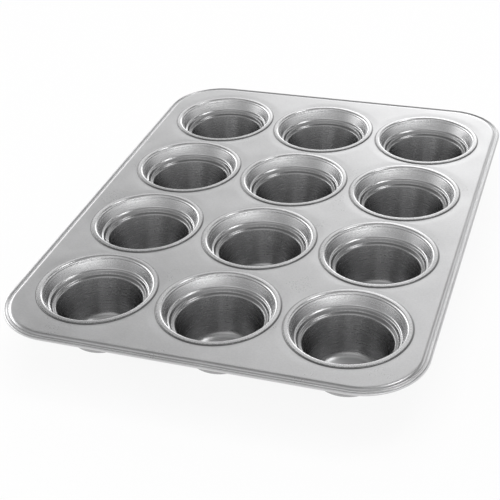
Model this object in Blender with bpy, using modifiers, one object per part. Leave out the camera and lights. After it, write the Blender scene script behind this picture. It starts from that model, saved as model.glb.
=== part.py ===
# Jumbo muffin pan with twelve deep cups, in metres.
# +Z is up, the undersides of the cups stand on z = 0, the long side of the pan runs along Y,
# and the origin is under the middle of the pan.
import math

import bmesh
import bpy

# Fit between neighbouring pieces
clearance = 0.0003

# Pan plate and its rolled rim
pan_width = 0.333            # over the rolled rim, along X
pan_length = 0.4445          # over the rolled rim, along Y
corner_radius = 0.050        # outer corner of the rolled rim, seen from above
plate_gauge = 0.0005         # sheet thickness of the plate and the rim
edge_radius = 0.0035         # round edge of the flat plate, on its top
valley_radius = 0.0014       # hollow between that edge and the bead, on its top
rim_slope = math.radians(45)  # of the sheet where it falls into the hollow and where it climbs out
wire_diameter = 0.0013       # reinforcing wire inside the bead

# Grid of cups
columns = 3
rows = 4
column_pitch = 0.101         # between cup centres along X
row_pitch = 0.101            # between cup centres along Y

# One cup: radii inside the cup, depths from the plate's top down to the inside surface
cup_gauge = 0.0006           # sheet thickness of the cup
ring_radius = 0.0481         # outer edge of the ring that lies on the plate
ring_round = 0.0007          # fold from the ring's top down into the mouth
mouth_radius = 0.0435        # wall where the cup passes the plate
lock_reach = 0.0007          # how far the locking bead swells past the mouth
lock_height = 0.0014         # height of the locking bead, which traps the plate from below
crown_radius = 0.0425        # top of the crown wall, just below the locking bead
crown_foot_radius = 0.0400
crown_foot_depth = 0.0094
first_step_radius = 0.0385   # edge of the first step
first_step_depth = 0.0097
waist_radius = 0.0373        # foot of the short wall between the steps
waist_depth = 0.0130
second_step_radius = 0.0344  # edge of the second step, where the bowl starts
second_step_depth = 0.0134
foot_radius = 0.0268         # foot of the bowl's wall, where it rounds into the floor
foot_height = 0.0041         # from the floor up to the foot of the bowl's wall
floor_radius = 0.0215        # flat part of the floor
cup_depth = 0.0465           # from the plate's top down to the floor

# How finely the round shapes are faceted
cup_facets = 24
corner_facets = 7
edge_facets = 3
valley_facets = 4
bead_facets = 10
foot_facets = 2
wire_bevel_resolution = 2
crease_angle = math.radians(40)
merge_distance = 0.00001
cutter_overrun = 0.004       # how far a hole cutter stands past the plate on both sides

# Values that follow from the ones above
plate_top = cup_depth + cup_gauge
hole_radius = mouth_radius + cup_gauge + clearance
bead_radius = wire_diameter / 2 + clearance + plate_gauge
wire_offset = (edge_radius + 2 * valley_radius + bead_radius) * math.sin(rim_slope)
wire_depth = edge_radius - (edge_radius - bead_radius) * math.cos(rim_slope)
rim_reach = wire_offset + bead_radius


def clear_scene():
    for item in list(bpy.data.objects):
        bpy.data.objects.remove(item, do_unlink=True)


def new_collection(name):
    collection = bpy.data.collections.new(name)
    bpy.context.scene.collection.children.link(collection)
    return collection


def steel(name, colour, roughness):
    material = bpy.data.materials.new(name)
    material.use_nodes = True
    shader = material.node_tree.nodes["Principled BSDF"]
    shader.inputs["Base Color"].default_value = (*colour, 1.0)
    shader.inputs["Metallic"].default_value = 1.0
    shader.inputs["Roughness"].default_value = roughness
    return material


def arc(centre, radius, start, end, facets):
    # points from the start angle to the end angle, both included
    points = []
    for step in range(facets + 1):
        angle = start + (end - start) * step / facets
        points.append((centre[0] + radius * math.cos(angle), centre[1] + radius * math.sin(angle)))
    return points


def pan_outline(offset):
    # rounded rectangle, anticlockwise from above, at this distance out from the edge of the flat plate
    half_x = pan_width / 2 - corner_radius
    half_y = pan_length / 2 - corner_radius
    radius = corner_radius - rim_reach + offset
    points = []
    for quarter, (side_x, side_y) in enumerate(((1, 1), (-1, 1), (-1, -1), (1, -1))):
        start = quarter * math.pi / 2
        centre = (side_x * half_x, side_y * half_y)
        points += arc(centre, radius, start, start + math.pi / 2, corner_facets)
    return points


def rim_section():
    # the edge, the hollow and the bead: distance out from the flat plate, height over its top
    upright = math.pi / 2
    edge = arc((0, -edge_radius), edge_radius, upright, upright - rim_slope, edge_facets)
    valley_reach = edge_radius + valley_radius
    valley_centre = (valley_reach * math.sin(rim_slope), valley_reach * math.cos(rim_slope) - edge_radius)
    valley = arc(valley_centre, valley_radius, -upright - rim_slope, -upright + rim_slope, valley_facets)
    # the bead is rolled over the wire and under it, until its free edge is one clearance from the hollow
    apart = valley_radius + bead_radius
    stop = valley_radius + plate_gauge + clearance
    free_edge = math.acos((apart ** 2 + bead_radius ** 2 - stop ** 2) / (2 * apart * bead_radius))
    start = upright + rim_slope
    bead = arc((wire_offset, -wire_depth), bead_radius, start, start - 2 * math.pi + free_edge, bead_facets)
    return edge[1:] + valley[1:] + bead[1:]


def next_loop(shape, verts, places):
    # draws the open edge through verts out to places, and returns the new verts in the same order
    edges = [shape.edges.get((verts[i - 1], verts[i])) for i in range(len(verts))]
    grown = bmesh.ops.extrude_edge_only(shape, edges=edges)["geom"]
    fresh = {item for item in grown if isinstance(item, bmesh.types.BMVert)}
    twins = []
    for vert, place in zip(verts, places):
        twin = next(edge.other_vert(vert) for edge in vert.link_edges if edge.other_vert(vert) in fresh)
        twin.co = place
        twins.append(twin)
    return twins


def make_frame(collection, cutters, material):
    # one sheet: the flat plate as a face, drawn out along the section of the rim
    mesh = bpy.data.meshes.new("pan_frame")
    shape = bmesh.new()
    verts = [shape.verts.new((x, y, plate_top)) for x, y in pan_outline(0)]
    shape.faces.new(verts)
    for offset, height in rim_section():
        places = [(x, y, plate_top + height) for x, y in pan_outline(offset)]
        verts = next_loop(shape, verts, places)
    shape.normal_update()
    shape.to_mesh(mesh)
    shape.free()
    mesh.shade_smooth()
    mesh.set_sharp_from_angle(angle=crease_angle)
    mesh.materials.append(material)
    frame = bpy.data.objects.new("pan_frame", mesh)
    collection.objects.link(frame)

    sheet = frame.modifiers.new("sheet", "SOLIDIFY")
    sheet.thickness = plate_gauge
    sheet.offset = -1
    sheet.use_even_offset = True
    holes = frame.modifiers.new("cup holes", "BOOLEAN")
    holes.operation = "DIFFERENCE"
    holes.solver = "EXACT"
    holes.operand_type = "COLLECTION"
    holes.collection = cutters


def make_wire(collection, material):
    # a closed ring of round wire that the rim is rolled over
    curve = bpy.data.curves.new("rim_wire", "CURVE")
    curve.dimensions = "3D"
    curve.bevel_depth = wire_diameter / 2
    curve.bevel_resolution = wire_bevel_resolution
    points = pan_outline(wire_offset)
    spline = curve.splines.new("POLY")
    spline.points.add(len(points) - 1)
    for point, (x, y) in zip(spline.points, points):
        point.co = (x, y, plate_top - wire_depth, 1)
    spline.use_cyclic_u = True
    curve.materials.append(material)
    collection.objects.link(bpy.data.objects.new("rim_wire", curve))


def turned_mesh(name, section):
    # turns (radius, height) points about the Z axis, with the same facets for every turned shape
    edges = [(i, i + 1) for i in range(len(section) - 1)]
    profile = bpy.data.meshes.new(name + " profile")
    profile.from_pydata([(radius, 0, height) for radius, height in section], edges, [])
    turned = bpy.data.objects.new(name + " profile", profile)
    bpy.context.scene.collection.objects.link(turned)
    screw = turned.modifiers.new("turn", "SCREW")
    screw.axis = "Z"
    screw.steps = cup_facets
    screw.render_steps = cup_facets
    screw.use_merge_vertices = True
    screw.merge_threshold = merge_distance
    mesh = bpy.data.meshes.new_from_object(turned.evaluated_get(bpy.context.evaluated_depsgraph_get()))
    mesh.name = name
    bpy.data.objects.remove(turned)
    mesh.shade_smooth()
    mesh.set_sharp_from_angle(angle=crease_angle)
    return mesh


def outer_side(inside, gauge):
    # the same sheet's other face: each point moved out by the gauge, square to both of its edges
    outside = []
    for index, (radius, height) in enumerate(inside):
        normals = []
        for first, second in ((index - 1, index), (index, index + 1)):
            if first < 0 or second >= len(inside):
                continue
            run = inside[second][0] - inside[first][0]
            rise = inside[second][1] - inside[first][1]
            length = math.hypot(run, rise)
            normals.append((rise / length, -run / length))
        sum_x = sum(normal[0] for normal in normals) / len(normals)
        sum_z = sum(normal[1] for normal in normals) / len(normals)
        scale = gauge / (sum_x ** 2 + sum_z ** 2)
        outside.append((radius + sum_x * scale, height + sum_z * scale))
    return outside


def cup_section():
    # the inside surface from the middle of the floor up to the ring, in heights over the plate's top
    ring_top = clearance + cup_gauge
    lock_slope = math.atan2(lock_reach, lock_height / 2)
    # the wall swells outwards one clearance below the plate, measured on its outside
    lock_top = -(plate_gauge + clearance) - cup_gauge * math.tan(lock_slope / 2)
    inside = [(0, -cup_depth)]
    for step in range(foot_facets + 1):
        # a quarter of an ellipse from the flat floor up into the wall
        angle = step / foot_facets * math.pi / 2
        inside.append((floor_radius + (foot_radius - floor_radius) * math.sin(angle),
                       -cup_depth + foot_height * (1 - math.cos(angle))))
    inside += [
        (second_step_radius, -second_step_depth),
        (waist_radius, -waist_depth),
        (first_step_radius, -first_step_depth),
        (crown_foot_radius, -crown_foot_depth),
        (crown_radius, lock_top - lock_height),
        (mouth_radius + lock_reach, lock_top - lock_height / 2),
        (mouth_radius, lock_top),
        (mouth_radius, ring_top - ring_round),
        (mouth_radius + ring_round, ring_top),
        (ring_radius, ring_top),
    ]
    return inside + outer_side(inside, cup_gauge)[::-1]


def make_cups(collection, material):
    mesh = turned_mesh("cup", cup_section())
    mesh.materials.append(material)
    for row, column, x, y in cup_places():
        cup = bpy.data.objects.new(f"cup_row_{row + 1}_column_{column + 1}", mesh)
        cup.location = (x, y, plate_top)
        collection.objects.link(cup)


def make_hole_cutters(collection):
    reach = plate_gauge + cutter_overrun
    section = [(0, cutter_overrun), (hole_radius, cutter_overrun), (hole_radius, -reach), (0, -reach)]
    mesh = turned_mesh("hole cutter", section)
    for row, column, x, y in cup_places():
        cutter = bpy.data.objects.new(f"hole_cutter_{row + 1}_{column + 1}", mesh)
        cutter.location = (x, y, plate_top)
        cutter.hide_render = True
        cutter.display_type = "WIRE"
        collection.objects.link(cutter)


def cup_places():
    # row, column and centre of each cup, front row first
    for row in range(rows):
        for column in range(columns):
            x = (column - (columns - 1) / 2) * column_pitch
            y = (row - (rows - 1) / 2) * row_pitch
            yield row, column, x, y


def main():
    clear_scene()
    parts = new_collection("jumbo_muffin_pan")
    cutters = new_collection("cutters")
    make_hole_cutters(cutters)
    make_frame(parts, cutters, steel("frame steel", (0.62, 0.62, 0.63), 0.36))
    make_wire(parts, steel("wire steel", (0.45, 0.45, 0.46), 0.4))
    make_cups(parts, steel("cup steel", (0.58, 0.58, 0.59), 0.3))


main()
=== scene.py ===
# Looks of a jumbo muffin pan: a satin aluminised plate with a rolled rim and twelve drawn cups.
# Metres, +Z up, the cups stand on z = 0 and the long side of the pan runs along Y.
import math

import bpy
from mathutils import Matrix, Vector


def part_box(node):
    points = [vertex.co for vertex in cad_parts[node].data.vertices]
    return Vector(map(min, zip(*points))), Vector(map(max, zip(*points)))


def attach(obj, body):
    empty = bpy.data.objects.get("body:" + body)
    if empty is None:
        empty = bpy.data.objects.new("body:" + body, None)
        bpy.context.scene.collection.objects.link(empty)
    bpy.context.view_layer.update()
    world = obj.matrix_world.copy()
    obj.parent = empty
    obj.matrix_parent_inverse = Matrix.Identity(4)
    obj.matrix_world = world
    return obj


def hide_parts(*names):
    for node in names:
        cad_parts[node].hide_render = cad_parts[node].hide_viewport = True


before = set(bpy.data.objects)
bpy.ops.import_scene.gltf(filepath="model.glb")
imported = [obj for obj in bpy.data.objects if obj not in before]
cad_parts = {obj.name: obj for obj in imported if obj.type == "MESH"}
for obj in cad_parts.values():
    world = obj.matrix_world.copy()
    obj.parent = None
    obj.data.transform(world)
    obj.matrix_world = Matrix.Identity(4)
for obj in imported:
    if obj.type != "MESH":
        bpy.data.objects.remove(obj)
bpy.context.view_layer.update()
print("frame loaded:", len(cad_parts), "nodes")

cupNames = sorted(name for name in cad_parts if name.startswith("cup_row"))
samePlace = 0.00001              # a point is at a place when it is closer to it than this
seamGap = 0.000002               # points closer than this are merged


# Small helpers for modelling by operators

def centreOf(node):
    low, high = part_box(node)
    return (low + high) / 2


def selectOnly(piece):
    bpy.ops.object.select_all(action="DESELECT")
    piece.select_set(True)
    bpy.context.view_layer.objects.active = piece


def pointAt(name, place):
    # a new mesh of one selected vertex, left in edit mode
    bpy.ops.object.select_all(action="DESELECT")
    bpy.ops.mesh.primitive_plane_add(size=0.001, location=(0, 0, 0))
    piece = bpy.context.object
    piece.name = name
    piece.data.name = name
    bpy.ops.object.mode_set(mode="EDIT")
    bpy.ops.mesh.select_mode(type="VERT")
    bpy.ops.mesh.select_all(action="SELECT")
    bpy.ops.mesh.merge(type="CENTER")
    bpy.ops.transform.translate(value=place)
    return piece


def drawTo(x, y, z):
    # carries the selected vertex on by one straight edge
    bpy.ops.mesh.extrude_vertices_move(TRANSFORM_OT_translate={"value": (x, y, z)})


def choose(piece, kind, test):
    # selects the vertices, or the edges, whose points pass the test, and goes to edit mode
    bpy.ops.object.mode_set(mode="EDIT")
    bpy.ops.mesh.select_mode(type=kind)
    bpy.ops.mesh.select_all(action="DESELECT")
    bpy.ops.object.mode_set(mode="OBJECT")
    verts = piece.data.vertices
    if kind == "VERT":
        for vert in verts:
            vert.select = test(vert.co)
    else:
        for edge in piece.data.edges:
            edge.select = all(test(verts[index].co) for index in edge.vertices)
    bpy.ops.object.mode_set(mode="EDIT")


def closeSeams():
    bpy.ops.mesh.select_all(action="SELECT")
    bpy.ops.mesh.remove_doubles(threshold=seamGap)
    bpy.ops.mesh.normals_make_consistent(inside=False)


def applyModifiers(piece):
    selectOnly(piece)
    for modifier in list(piece.modifiers):
        bpy.ops.object.modifier_apply(modifier=modifier.name)


def thicken(piece, gauge):
    # the modelled surface stays the sheet's upper side, and the thickness goes under it
    wall = piece.modifiers.new("sheet thickness", "SOLIDIFY")
    wall.thickness = gauge
    wall.offset = -1
    wall.use_even_offset = True
    applyModifiers(piece)


def smooth(piece, degrees):
    selectOnly(piece)
    bpy.ops.object.shade_smooth_by_angle(angle=math.radians(degrees))


def copyTo(piece, name, shift):
    twin = piece.copy()
    twin.data = piece.data.copy()
    twin.name = name
    twin.data.name = name
    twin.data.transform(Matrix.Translation(shift))
    bpy.context.scene.collection.objects.link(twin)
    return twin


# One cup, turned from its section, then copied to the other places

cup = {
    "gauge": 0.0005,             # thickness of the sheet
    "ringRise": 0.0009,          # the ring's top over the plate
    "turns": 96,                 # facets round the cup
    "crease": 40,                # degrees, edges sharper than this stay crisp
    # corners of the inside surface: radius, height over the plate, how far the corner is rounded off,
    # and the facets of that round
    "section": (
        (0.0257, -0.0466, 0.0042, 10),   # floor into the bowl's wall
        (0.0344, -0.0134, 0.0012, 7),    # edge of the second step
        (0.0373, -0.0130, 0.0009, 6),
        (0.0385, -0.0097, 0.0006, 5),    # edge of the first step
        (0.0400, -0.0094, 0.0008, 6),
        (0.0426, -0.0022, 0.0003, 3),    # faint groove of the locking bead under the plate
        (0.0429, -0.0016, 0.0003, 3),
        (0.0430, -0.0010, 0.0003, 3),
        (0.0437, 0.0009, 0.0014, 8),     # crest of the ring
        (0.0481, 0.0007, 0.00055, 6),    # the ring's outer fold
        (0.0481, 0.0001, 0, 0),
    ),
}
firstCup = cupNames[0]
cupPitch = (centreOf("cup_row_1_column_2") - centreOf("cup_row_1_column_1")).x
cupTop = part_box(firstCup)[1].z
plateTop = cupTop - cup["ringRise"]


def makeCup(name):
    middle = centreOf(name)
    piece = pointAt(name + "_sheet", (middle.x, middle.y, plateTop + cup["section"][0][1]))
    radius, height = 0, cup["section"][0][1]
    for nextRadius, nextHeight, rounding, facets in cup["section"]:
        drawTo(nextRadius - radius, 0, nextHeight - height)
        radius, height = nextRadius, nextHeight
    for radius, height, rounding, facets in cup["section"]:
        if facets:
            corner = Vector((middle.x + radius, middle.y, plateTop + height))
            choose(piece, "VERT", lambda place: (place - corner).length < samePlace)
            bpy.ops.mesh.bevel(offset=rounding, offset_type="OFFSET", segments=facets, affect="VERTICES")
    bpy.ops.mesh.select_all(action="SELECT")
    bpy.ops.mesh.spin(steps=cup["turns"], angle=2 * math.pi, center=(middle.x, middle.y, 0), axis=(0, 0, 1))
    closeSeams()
    bpy.ops.object.mode_set(mode="OBJECT")
    thicken(piece, cup["gauge"])
    smooth(piece, cup["crease"])
    return piece


modelCup = makeCup(firstCup)
cups = {firstCup: modelCup}
for name in cupNames[1:]:
    cups[name] = copyTo(modelCup, name + "_sheet", centreOf(name) - centreOf(firstCup))
print("cups turned:", len(cups), "of", len(modelCup.data.polygons), "faces")


# The plate with its rolled rim, and the wire in it

rim = {
    "gauge": 0.0005,             # thickness of the sheet
    "corner": 0.050,             # outer corner of the rolled rim, seen from above
    "edge": 0.0035,              # radius of the plate's round edge
    "valley": 0.0014,            # radius of the hollow between that edge and the bead
    "slope": 45,                 # degrees, of the sheet into the hollow and out of it
    "wire": 0.00065,             # radius of the wire
    "gap": 0.0003,               # between the wire and the bead
    "freeEdge": 49,              # degrees of the bead left open, on its underside
    "cornerFacets": 24,
    "edgeFacets": 6,
    "valleyFacets": 8,
    "beadFacets": 28,
    "wireFacets": 16,
    "plateMargin": 0.0015,       # flat border kept beside the round edge
    "hole": 0.0444,              # radius of the holes for the cups
    "cutDepth": 0.01,            # height of the cylinders that cut them
    "plateCrease": 30,           # degrees, edges sharper than this stay crisp
    "wireCrease": 60,
}
slope = math.radians(rim["slope"])
bead = rim["wire"] + rim["gap"] + rim["gauge"]
valleyOut = (rim["edge"] + rim["valley"]) * math.sin(slope)
valleyUp = (rim["edge"] + rim["valley"]) * math.cos(slope) - rim["edge"]
wireOut = valleyOut + (rim["valley"] + bead) * math.sin(slope)
wireDown = rim["edge"] - (rim["edge"] - bead) * math.cos(slope)
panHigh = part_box("pan_frame")[1]
turnX = panHigh.x - rim["corner"]          # centre that the pan's corner turns about
turnY = panHigh.y - rim["corner"]
flatX = turnX + rim["corner"] - wireOut - bead   # where the flat plate ends


def runRound(piece):
    # carries a section that stands at the corner round the whole pan
    bpy.ops.mesh.select_all(action="SELECT")
    bpy.ops.mesh.spin(
        steps=rim["cornerFacets"], angle=-math.pi / 2, center=(turnX, turnY, 0), axis=(0, 0, 1)
    )
    choose(piece, "EDGE", lambda place: abs(place.y - turnY) < samePlace)
    bpy.ops.mesh.extrude_edges_move(TRANSFORM_OT_translate={"value": (0, -turnY, 0)})
    choose(piece, "EDGE", lambda place: abs(place.x - turnX) < samePlace)
    bpy.ops.mesh.extrude_edges_move(TRANSFORM_OT_translate={"value": (-turnX, 0, 0)})
    bpy.ops.object.mode_set(mode="OBJECT")
    halves = piece.modifiers.new("other sides", "MIRROR")
    halves.use_axis = (True, True, False)
    halves.merge_threshold = samePlace
    applyModifiers(piece)


def makePlate():
    piece = pointAt("pan_sheet", (flatX, turnY, plateTop))
    # facets and angle of each bend, and how far out and up from the flat plate's end its middle lies
    bends = (
        (rim["edgeFacets"], -slope, 0, -rim["edge"]),
        (rim["valleyFacets"], 2 * slope, valleyOut, valleyUp),
        (rim["beadFacets"], math.radians(rim["freeEdge"] - 360), wireOut, -wireDown),
    )
    for facets, turn, out, up in bends:
        middle = (flatX + out, turnY, plateTop + up)
        bpy.ops.mesh.spin(steps=facets, angle=turn, center=middle, axis=(0, 1, 0))
    runRound(piece)
    choose(piece, "EDGE", lambda place: place.z > plateTop - samePlace)
    bpy.ops.mesh.edge_face_add()
    bpy.ops.mesh.inset(thickness=rim["plateMargin"], depth=0)
    closeSeams()
    bpy.ops.object.mode_set(mode="OBJECT")
    thicken(piece, rim["gauge"])
    return piece


def makeHoleCutter():
    bpy.ops.object.select_all(action="DESELECT")
    bpy.ops.mesh.primitive_cylinder_add(
        vertices=cup["turns"], radius=rim["hole"], depth=rim["cutDepth"], location=(0, 0, plateTop)
    )
    model = bpy.context.object
    model.name = "hole_cutter"
    model.data.transform(model.matrix_world)
    model.matrix_world = Matrix.Identity(4)
    cutters = []
    for name in cupNames:
        middle = centreOf(name)
        cutters.append(copyTo(model, "hole_cutter_copy", Vector((middle.x, middle.y, 0))))
    bpy.data.objects.remove(model)
    selectOnly(cutters[0])
    for cutter in cutters:
        cutter.select_set(True)
    bpy.ops.object.join()
    return cutters[0]


def cutHoles(piece):
    cutter = makeHoleCutter()
    holes = piece.modifiers.new("cup holes", "BOOLEAN")
    holes.operation = "DIFFERENCE"
    holes.solver = "EXACT"
    holes.object = cutter
    applyModifiers(piece)
    bpy.data.objects.remove(cutter)


def makeWire():
    middle = (flatX + wireOut, turnY, plateTop - wireDown)
    bpy.ops.object.select_all(action="DESELECT")
    bpy.ops.mesh.primitive_circle_add(
        vertices=rim["wireFacets"], radius=rim["wire"], location=middle, rotation=(math.pi / 2, 0, 0)
    )
    piece = bpy.context.object
    piece.name = "rim_wire_round"
    piece.data.transform(piece.matrix_world)
    piece.matrix_world = Matrix.Identity(4)
    bpy.ops.object.mode_set(mode="EDIT")
    runRound(piece)
    bpy.ops.object.mode_set(mode="EDIT")
    closeSeams()
    bpy.ops.object.mode_set(mode="OBJECT")
    smooth(piece, rim["wireCrease"])
    return piece


plate = makePlate()
cutHoles(plate)
smooth(plate, rim["plateCrease"])
wire = makeWire()
print("plate and wire made:", len(plate.data.polygons), "faces")


# Small helpers for the finishes. A value is a plain number or another node's output

def feed(tree, sockets, values):
    for socket, value in zip(sockets, values):
        if isinstance(value, bpy.types.NodeSocket):
            tree.links.new(value, socket)
        else:
            socket.default_value = value


def reckon(tree, operation, *values):
    # one step of a sum
    node = tree.nodes.new("ShaderNodeMath")
    node.operation = operation
    feed(tree, node.inputs, values)
    return node.outputs[0]


def vectorOf(tree, operation, *values):
    # the same for three numbers at once
    node = tree.nodes.new("ShaderNodeVectorMath")
    node.operation = operation
    feed(tree, node.inputs, values)
    return node.outputs[0]


def apart(tree, vector):
    # the three numbers of a vector
    node = tree.nodes.new("ShaderNodeSeparateXYZ")
    tree.links.new(vector, node.inputs[0])
    return node.outputs


def squares(tree, first, second):
    # the sum of two squares
    first, second = (reckon(tree, "POWER", reckon(tree, "ABSOLUTE", value), 2) for value in (first, second))
    return reckon(tree, "ADD", first, second)


def spread(tree, measure, low, high, start=0.3, end=0.7):
    # goes softly from low to high while the measure, such as a cloudy pattern, goes from start to end
    node = tree.nodes.new("ShaderNodeMapRange")
    node.interpolation_type = "SMOOTHSTEP"
    node.inputs["From Min"].default_value = start
    node.inputs["From Max"].default_value = end
    node.inputs["To Min"].default_value = low
    node.inputs["To Max"].default_value = high
    tree.links.new(measure, node.inputs["Value"])
    return node.outputs["Result"]


def varied(tree, middle, *patterns):
    # a value that swings about its middle with each pattern, by that pattern's own amount
    for pattern, swing in patterns:
        middle = reckon(tree, "ADD", spread(tree, pattern, -swing, swing), middle)
    return middle


def fade(tree, value, measure, low, high, start, end):
    # the value times a factor that goes from low to high with the measure
    return reckon(tree, "MULTIPLY", value, spread(tree, measure, low, high, start, end))


def noiseOf(tree, vector, scale, detail, stretch=(1, 1, 1)):
    # a cloudy pattern, its scale in turns per metre
    mapping = tree.nodes.new("ShaderNodeMapping")
    mapping.inputs["Scale"].default_value = stretch
    noise = tree.nodes.new("ShaderNodeTexNoise")
    noise.inputs["Scale"].default_value = scale
    noise.inputs["Detail"].default_value = detail
    tree.links.new(vector, mapping.inputs["Vector"])
    tree.links.new(mapping.outputs["Vector"], noise.inputs["Vector"])
    return noise.outputs["Fac"]


def bumpOf(tree, height, depth, below=None):
    # dents of this depth in metres, over those made before
    bump = tree.nodes.new("ShaderNodeBump")
    bump.inputs["Strength"].default_value = 1.0
    bump.inputs["Distance"].default_value = depth
    tree.links.new(height, bump.inputs["Height"])
    if below is not None:
        tree.links.new(below, bump.inputs["Normal"])
    return bump.outputs["Normal"]


def greyOf(tree, value, tint):
    # a grey of this value with a slight tint
    colour = tree.nodes.new("ShaderNodeVectorMath")
    colour.operation = "SCALE"
    colour.inputs[0].default_value = tint
    tree.links.new(value, colour.inputs["Scale"])
    return colour.outputs[0]


def cupCell(tree, place):
    # coordinates that start anew at the middle of the nearest cup, with the height as it is.
    # The rows lie half a step off the pan's middle, so everything is first moved by that
    firstCell, lastCell = (-1, -1, 0), (1, 2, 0)
    across = vectorOf(tree, "ADD", place, (0, cupPitch / 2, 0))
    count = vectorOf(tree, "DIVIDE", across, (cupPitch, cupPitch, 1))
    count = vectorOf(tree, "FLOOR", vectorOf(tree, "ADD", count, (0.5, 0.5, 0)))
    count = vectorOf(tree, "MINIMUM", count, lastCell)
    count = vectorOf(tree, "MAXIMUM", count, firstCell)
    return vectorOf(tree, "SUBTRACT", across, vectorOf(tree, "MULTIPLY", count, (cupPitch, cupPitch, 0)))


def newSteel(name, finish):
    material = bpy.data.materials.new(name)
    material.use_nodes = True
    tree = material.node_tree
    shader = tree.nodes["Principled BSDF"]
    shader.inputs["Metallic"].default_value = 1.0
    shader.inputs["Roughness"].default_value = finish["roughness"]
    place = tree.nodes.new("ShaderNodeTexCoord").outputs["Object"]
    return material, tree, shader, place


# In each finish the level is the metal's brightness. A scale is a pattern's turns per metre, a tone or a
# roughness beside it is how far the pattern swings that value, and a depth is that of its dents.

sheetFinish = {
    "level": 0.58,
    "tint": (1.0, 1.0, 1.008),
    "roughness": 0.32,
    "cloudScale": 28,
    "cloudDetail": 4,
    "cloudTone": 0.022,
    "cloudRoughness": 0.03,
    "grainScale": 900,
    "grainDetail": 2,
    "grainTone": 0.02,
    "grainRoughness": 0.02,
    "grainDepth": 0.000001,
    "waveScale": 14,
    "waveDetail": 1,
    "waveDepth": 0.0008,
    "dishDepth": 0.00015,        # how far the plate sinks towards each ring
    "dishFrom": 0.0475,          # distances from the cup's middle
    "dishTo": 0.0565,
    "ringPaintedShade": 0.4,            # painted shade: the plate is darker right beside a ring, where the ring's foot shades it
    "shadeFrom": 0.0482,         # distances from the cup's middle
    "shadeTo": 0.0491,
}


def makeSheetSteel(finish):
    # satin aluminised sheet: a fine mottled grain over broad, very flat waves from rolling and pressing
    material, tree, shader, place = newSteel("satinPlateSteel", finish)
    clouds = noiseOf(tree, place, finish["cloudScale"], finish["cloudDetail"])
    grain = noiseOf(tree, place, finish["grainScale"], finish["grainDetail"])
    waves = noiseOf(tree, place, finish["waveScale"], finish["waveDetail"])
    x, y = apart(tree, cupCell(tree, place))[:2]
    radius = reckon(tree, "SQRT", squares(tree, x, y))
    tone = varied(tree, finish["level"], (clouds, finish["cloudTone"]), (grain, finish["grainTone"]))
    # painted shade on the plate right beside each ring
    tone = fade(tree, tone, radius, finish["ringPaintedShade"], 1, finish["shadeFrom"], finish["shadeTo"])
    rough = varied(
        tree, finish["roughness"], (clouds, finish["cloudRoughness"]), (grain, finish["grainRoughness"])
    )
    dish = spread(tree, radius, 0, 1, finish["dishFrom"], finish["dishTo"])
    normal = bumpOf(tree, waves, finish["waveDepth"])
    normal = bumpOf(tree, dish, finish["dishDepth"], normal)
    normal = bumpOf(tree, grain, finish["grainDepth"], normal)
    tree.links.new(greyOf(tree, tone, finish["tint"]), shader.inputs["Base Color"])
    tree.links.new(rough, shader.inputs["Roughness"])
    tree.links.new(normal, shader.inputs["Normal"])
    return material


cupFinish = {
    "level": 0.62,
    "tint": (1.0, 1.0, 1.008),
    "roughness": 0.26,
    "stretch": 0.75,             # how far reflections are drawn out up and down the wall
    "stretchTurn": 0.25,         # of a full turn, from along the marks to across them
    "markScale": 700,
    "markDetail": 2,
    "markDrift": 0.0012,         # how far the marks wander on their way round
    "markTone": 0.015,
    "markRoughness": 0.015,
    "markDepth": 0.000001,
    "grainScale": 1100,
    "grainDetail": 2,
    "grainTone": 0.008,
    "grainRoughness": 0.01,
    "grainDepth": 0.0000008,
    "bowlPaintedShade": 0.62,           # painted shade: the bowl is darker from the first step down, where shade falls in the deep cup
    "bowlFrom": 0.0116,          # depths under the cup's top
    "bowlTo": 0.0103,
    "floorPaintedLight": 1.9,            # painted light: the floor is painted paler than the bowl, where light falls in through the cup's mouth; it is also rougher
    "floorRough": 0.15,
    "floorFrom": 0.0006,         # heights
    "floorTo": 0.0018,
    "footPaintedShade": 0.35,           # painted shade: the ring is darker where it comes down to the plate
    "footFrom": 0.0468,          # distances from the cup's middle
    "footTo": 0.0478,
}


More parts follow.
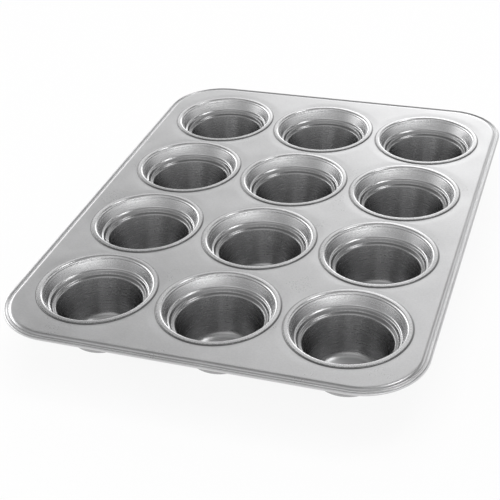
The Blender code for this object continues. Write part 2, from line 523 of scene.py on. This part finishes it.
def makeCupSteel(finish):
    # drawn and turned steel with fine marks round the cup
    material, tree, shader, place = newSteel("drawnCupSteel", finish)
    cell = cupCell(tree, place)
    x, y, height = apart(tree, cell)
    radius = reckon(tree, "SQRT", squares(tree, x, y))
    # the marks' pattern changes with the radius and the height, and hardly with the angle
    drift = reckon(tree, "SINE", reckon(tree, "ARCTAN2", y, x))
    mark = tree.nodes.new("ShaderNodeCombineXYZ")
    feed(tree, mark.inputs, (radius, height, reckon(tree, "MULTIPLY", drift, finish["markDrift"])))
    marks = noiseOf(tree, mark.outputs[0], finish["markScale"], finish["markDetail"])
    grain = noiseOf(tree, place, finish["grainScale"], finish["grainDetail"])
    bottom = spread(tree, height, 1, 0, finish["floorFrom"], finish["floorTo"])
    tone = varied(tree, finish["level"], (marks, finish["markTone"]), (grain, finish["grainTone"]))
    # painted light on the cup's floor
    tone = fade(tree, tone, bottom, 1, finish["floorPaintedLight"], 0, 1)
    # painted shade in the bowl, from the first step down
    tone = fade(
        tree, tone, height, finish["bowlPaintedShade"], 1, cupTop - finish["bowlFrom"], cupTop - finish["bowlTo"]
    )
    # painted shade where the ring comes down to the plate
    tone = fade(tree, tone, radius, 1, finish["footPaintedShade"], finish["footFrom"], finish["footTo"])
    rough = varied(
        tree, finish["roughness"], (marks, finish["markRoughness"]), (grain, finish["grainRoughness"])
    )
    rough = reckon(tree, "ADD", rough, reckon(tree, "MULTIPLY", bottom, finish["floorRough"]))
    normal = bumpOf(tree, marks, finish["markDepth"])
    normal = bumpOf(tree, grain, finish["grainDepth"], normal)
    tree.links.new(greyOf(tree, tone, finish["tint"]), shader.inputs["Base Color"])
    tree.links.new(rough, shader.inputs["Roughness"])
    tree.links.new(normal, shader.inputs["Normal"])
    around = vectorOf(tree, "NORMALIZE", vectorOf(tree, "CROSS_PRODUCT", (0, 0, 1), cell))
    tree.links.new(around, shader.inputs["Tangent"])
    shader.inputs["Anisotropic"].default_value = finish["stretch"]
    shader.inputs["Anisotropic Rotation"].default_value = finish["stretchTurn"]
    return material


wireFinish = {
    "level": 0.46,
    "tint": (1, 1, 1.01),
    "roughness": 0.415,
    "skinScale": 300,
    "skinDetail": 3,
    "skinTone": 0.04,
    "skinRoughness": 0.065,
    "lineScale": 1500,
    "lineDetail": 1,
    "lineStretch": (0.1, 0.1, 1),
    "lineDepth": 0.00001,
}


def makeWireSteel(finish):
    # plain drawn wire with fine lines along it and a duller skin
    material, tree, shader, place = newSteel("rimWireSteel", finish)
    skin = noiseOf(tree, place, finish["skinScale"], finish["skinDetail"])
    lines = noiseOf(tree, place, finish["lineScale"], finish["lineDetail"], finish["lineStretch"])
    tone = varied(tree, finish["level"], (skin, finish["skinTone"]))
    rough = varied(tree, finish["roughness"], (skin, finish["skinRoughness"]))
    tree.links.new(greyOf(tree, tone, finish["tint"]), shader.inputs["Base Color"])
    tree.links.new(rough, shader.inputs["Roughness"])
    tree.links.new(bumpOf(tree, lines, finish["lineDepth"]), shader.inputs["Normal"])
    return material


def coat(pieces, material):
    for piece in pieces:
        piece.data.materials.clear()
        piece.data.materials.append(material)


coat([plate], makeSheetSteel(sheetFinish))
coat(cups.values(), makeCupSteel(cupFinish))
coat([wire], makeWireSteel(wireFinish))
print("finishes made")

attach(plate, "root")
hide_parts("pan_frame")
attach(wire, "root")
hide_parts("rim_wire")
for name, piece in cups.items():
    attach(piece, "root")
    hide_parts(name)


# Floor, lamp, camera and walls

studio = {
    "floorSize": 60,
    "floorDrop": 0.0005,         # the floor lies this far under the cups
    "floorTone": 0.9,
    "floorRoughness": 0.8,
    "floorWhite": 0.9,           # share of the floor's look that is plain white, so that a faint shadow stays
    "lampHeight": 2.4,
    "lampSize": 2.0,
    "lampPower": 24,
}


def makeFloorPaint():
    material = bpy.data.materials.new("floorPaint")
    material.use_nodes = True
    tree = material.node_tree
    paint = tree.nodes["Principled BSDF"]
    tone = studio["floorTone"]
    paint.inputs["Base Color"].default_value = (tone, tone, tone, 1)
    paint.inputs["Roughness"].default_value = studio["floorRoughness"]
    white = tree.nodes.new("ShaderNodeEmission")
    rays = tree.nodes.new("ShaderNodeLightPath").outputs
    seen = reckon(tree, "ADD", rays["Is Camera Ray"], rays["Is Glossy Ray"])
    seen = reckon(tree, "MINIMUM", reckon(tree, "ADD", seen, rays["Is Transmission Ray"]), 1)
    share = reckon(tree, "MULTIPLY", seen, studio["floorWhite"])
    mix = tree.nodes.new("ShaderNodeMixShader")
    feed(tree, mix.inputs, (share, paint.outputs[0], white.outputs[0]))
    tree.links.new(mix.outputs[0], tree.nodes["Material Output"].inputs["Surface"])
    return material


def layFloor():
    bpy.ops.object.select_all(action="DESELECT")
    bpy.ops.mesh.primitive_plane_add(size=studio["floorSize"], location=(0, 0, -studio["floorDrop"]))
    floor = bpy.context.object
    floor.name = "floor"
    floor.data.materials.append(makeFloorPaint())
    return floor


def hangLamp():
    # a broad soft lamp overhead for the floor; metal doesn't mirror it
    bpy.ops.object.light_add(type="AREA", location=(0, 0, studio["lampHeight"]))
    lamp = bpy.context.object
    lamp.name = "ceilingLamp"
    lamp.data.shape = "SQUARE"
    lamp.data.size = studio["lampSize"]
    lamp.data.energy = studio["lampPower"]
    lamp.visible_glossy = False


view = {
    "azimuth": 20.04,            # degrees that the camera stands to the right of the pan's front
    "elevation": 33.08,
    "roll": -3.20,
    "distance": 0.9047,
    "target": (-0.0013, -0.0711, 0),   # from the middle of the plate's top
    "focalPixels": 1107.6,
    "imagePixels": 500,
    "sensorWidth": 36,
    "clipStart": 0.01,
    "clipEnd": 200,
}


def placeCamera():
    turn, rise = math.radians(view["azimuth"]), math.radians(view["elevation"])
    back = Vector((math.sin(turn) * math.cos(rise), -math.cos(turn) * math.cos(rise), math.sin(rise)))
    target = Vector(view["target"]) + Vector((0, 0, plateTop))
    right = Vector((0, 0, 1)).cross(back).normalized()
    up = back.cross(right)
    roll = math.radians(view["roll"])
    sideways = math.cos(roll) * right + math.sin(roll) * up
    upward = math.cos(roll) * up - math.sin(roll) * right
    camera = bpy.data.objects.new("camera", bpy.data.cameras.new("camera"))
    bpy.context.scene.collection.objects.link(camera)
    turned = Matrix((sideways, upward, back)).transposed().to_4x4()
    camera.matrix_world = Matrix.Translation(target + back * view["distance"]) @ turned
    camera.data.sensor_width = view["sensorWidth"]
    camera.data.lens = view["sensorWidth"] * view["focalPixels"] / view["imagePixels"]
    camera.data.clip_start = view["clipStart"]
    camera.data.clip_end = view["clipEnd"]
    bpy.context.scene.camera = camera


# The studio's walls: an even level that changes with the height, and soft boxes far off. Angles are in
# degrees, the azimuth anticlockwise from the pan's right, so 90 is behind it
walls = {
    # elevation and level, from the horizon up to straight overhead
    "levels": ((0, 1.0), (12, 0.55), (24, 0.42), (36, 0.2), (90, 0.35)),
    # azimuth, elevation, half width, half height, strength
    "boxes": (
        (95, 16, 12, 11, 3.1),   # behind the pan
        (160, 14, 36, 11, 3.8),  # left and behind
        (315, 3, 40, 6, 3.4),    # low, in front on the right
        (103, 41, 19, 6, 1.2),   # over the one behind
        (39, 19, 33, 6, 1.4),    # right and behind
        (45, 64, 22, 6, 6.0),    # small and high
        (270, 48, 60, 18, 0.9),  # over the front
    ),
}


def wallLevel(tree, height):
    ramp = tree.nodes.new("ShaderNodeValToRGB")
    stops = ramp.color_ramp.elements
    stops.remove(stops[1])
    for number, (elevation, level) in enumerate(walls["levels"]):
        stop = stops.new(elevation / 90) if number else stops[0]
        stop.color = (level, level, level, 1)
    tree.links.new(reckon(tree, "DIVIDE", height, math.pi / 2), ramp.inputs["Fac"])
    return ramp.outputs["Color"]


def softBox(tree, around, height, azimuth, elevation, halfWidth, halfHeight, strength):
    # a glow that falls off softly from its middle
    aside = reckon(tree, "WRAP", reckon(tree, "SUBTRACT", around, math.radians(azimuth)), math.pi, -math.pi)
    aside = reckon(tree, "DIVIDE", aside, math.radians(halfWidth))
    above = reckon(tree, "SUBTRACT", height, math.radians(elevation))
    above = reckon(tree, "DIVIDE", above, math.radians(halfHeight))
    glow = reckon(tree, "EXPONENT", reckon(tree, "MULTIPLY", squares(tree, aside, above), -1))
    return reckon(tree, "MULTIPLY", glow, strength)


def makeWalls():
    world = bpy.data.worlds.new("studio")
    world.use_nodes = True
    tree = world.node_tree
    x, y, z = apart(tree, tree.nodes.new("ShaderNodeTexCoord").outputs["Generated"])
    height = reckon(tree, "ARCSINE", z)
    around = reckon(tree, "ARCTAN2", y, x)
    light = wallLevel(tree, height)
    for box in walls["boxes"]:
        light = reckon(tree, "ADD", light, softBox(tree, around, height, *box))
    background = tree.nodes["Background"]
    background.inputs["Color"].default_value = (1, 1, 1, 1)
    tree.links.new(light, background.inputs["Strength"])
    bpy.context.scene.world = world


floor = layFloor()
placeCamera()
makeWalls()
hangLamp()
bpy.context.scene.view_settings.view_transform = "Standard"
print("studio made")
